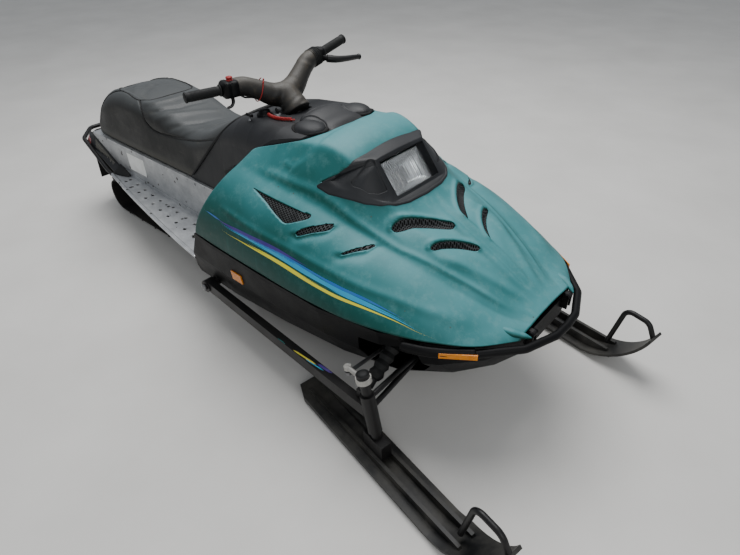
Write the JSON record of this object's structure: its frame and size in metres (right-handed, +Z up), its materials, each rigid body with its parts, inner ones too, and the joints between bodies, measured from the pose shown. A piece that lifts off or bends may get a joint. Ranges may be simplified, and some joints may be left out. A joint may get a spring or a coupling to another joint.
{
  "type": "snowmobile",
  "caption": "Two-up touring snowmobile with steered skis on trailing arms, a rubber track in a tunnel, a long seat and an opening hood.",
  "frame": {"origin": "on the ground, midway along the machine and midway between its sides", "axes": "+X towards the nose, +Y to the rider's left, +Z up"},
  "size_m": [3.0067, 1.2877, 1.0428],
  "materials": {
    "hood_paint": "faded gloss paint",
    "black_plastic": "weathered moulded plastic",
    "grey_plastic": "weathered moulded plastic",
    "clear_lens": "moulded clear lens",
    "lamp_reflector": "bright bowl",
    "red_lens": "red moulded lens",
    "amber_lens": "amber moulded lens",
    "aluminium": "bare mill finish, scuffed",
    "cast_aluminium": "cast, dull",
    "black_steel": "black enamel, chipped",
    "bright_steel": "bare steel",
    "zinc_steel": "zinc plated, dull",
    "vinyl": "grained vinyl, faded",
    "cover_vinyl": "padded vinyl, faded",
    "track_rubber": "moulded rubber",
    "grip_rubber": "soft ribbed rubber",
    "tether_plastic": "red coiled sheath",
    "engine_iron": "cast"
  },
  "bodies": {
    "chassis": {"tunnel": "aluminium", "running_boards": "aluminium", "belly_pan": "black_plastic", "pan_trim": "black_plastic", "front_frame": "black_steel", "rear_bulkhead": "black_plastic", "engine_block": "engine_iron", "console": "grey_plastic", "instrument_pod": "grey_plastic", "ignition_controls": "black_plastic", "tether_cord": "tether_plastic", "seat": "vinyl", "track": "track_rubber", "slide_rails": "aluminium", "idler_wheels": "black_plastic", "suspension_arms": "black_steel", "drive_axle": "zinc_steel", "rear_bumper": "black_steel", "snow_flap": "track_rubber", "tail_lamp": "red_lens", "front_bumper": "black_steel", "reflectors": "amber_lens", "arm_pivots": "black_steel", "radius_rods": "zinc_steel", "rear_caps": "black_plastic", "trailing_arms": "black_steel", "shocks": "grip_rubber"},
    "hood": {"hood": "hood_paint", "lamp_pod": "grey_plastic", "headlamp_housing": "lamp_reflector", "headlamp_lens": "clear_lens", "vent_grilles": "black_plastic", "hood_hinges": "black_steel"},
    "handlebar": {"steering_post": "black_steel", "handlebar": "black_steel", "bar_cover": "cover_vinyl", "grips": "grip_rubber", "bar_controls": "black_plastic", "brake_lever": "black_plastic", "tether_loop": "tether_plastic"},
    "steer_right": {"leg_right": "bright_steel", "steering_arm_right": "cast_aluminium", "ski_right": "black_steel", "wear_bar_right": "zinc_steel", "ski_loop_right": "black_steel"},
    "steer_left": {"leg_left": "bright_steel", "steering_arm_left": "cast_aluminium", "ski_left": "black_steel", "wear_bar_left": "zinc_steel", "ski_loop_left": "black_steel"},
    "tie_right": {"tie_rod_right": "zinc_steel"},
    "tie_left": {"tie_rod_left": "zinc_steel"}
  },
  "joints": [
    {"name": "handlebar_turn", "type": "hinge", "parent": "chassis", "child": "handlebar", "pos_m": [0.094, 0, 0.912], "axis": [-0.6882, 0, 0.7255], "range_deg": [-15.2, 32.8]},
    {"name": "ski_steer_right", "type": "hinge", "parent": "chassis", "child": "steer_right", "pos_m": [0.975, -0.509, 0.1], "axis": [-0.2001, 0, 0.9798], "range_deg": [-19, 41]},
    {"name": "ski_steer_left", "type": "hinge", "parent": "chassis", "child": "steer_left", "pos_m": [0.975, 0.509, 0.1], "axis": [-0.2001, 0, 0.9798], "range_deg": [-19, 41]},
    {"name": "tie_rod_right", "type": "hinge", "parent": "steer_right", "child": "tie_right", "pos_m": [0.84801, -0.49297, 0.30968], "axis": [-0.2001, 0, 0.9798], "range_deg": [-41, 19]},
    {"name": "tie_rod_left", "type": "hinge", "parent": "steer_left", "child": "tie_left", "pos_m": [0.84801, 0.52503, 0.30968], "axis": [-0.2001, 0, 0.9798], "range_deg": [-41, 19]},
    {"name": "hood_open", "type": "hinge", "parent": "chassis", "child": "hood", "pos_m": [1.252, 0, 0.446], "axis": [0, 1, 0], "range_deg": [0, 72]}
  ],
  "couplings": [
    {"joint": "ski_steer_right", "follows": "handlebar_turn", "ratio": 1.25},
    {"joint": "ski_steer_left", "follows": "handlebar_turn", "ratio": 1.25},
    {"joint": "tie_rod_right", "follows": "handlebar_turn", "ratio": -1.25},
    {"joint": "tie_rod_left", "follows": "handlebar_turn", "ratio": -1.25}
  ]
}
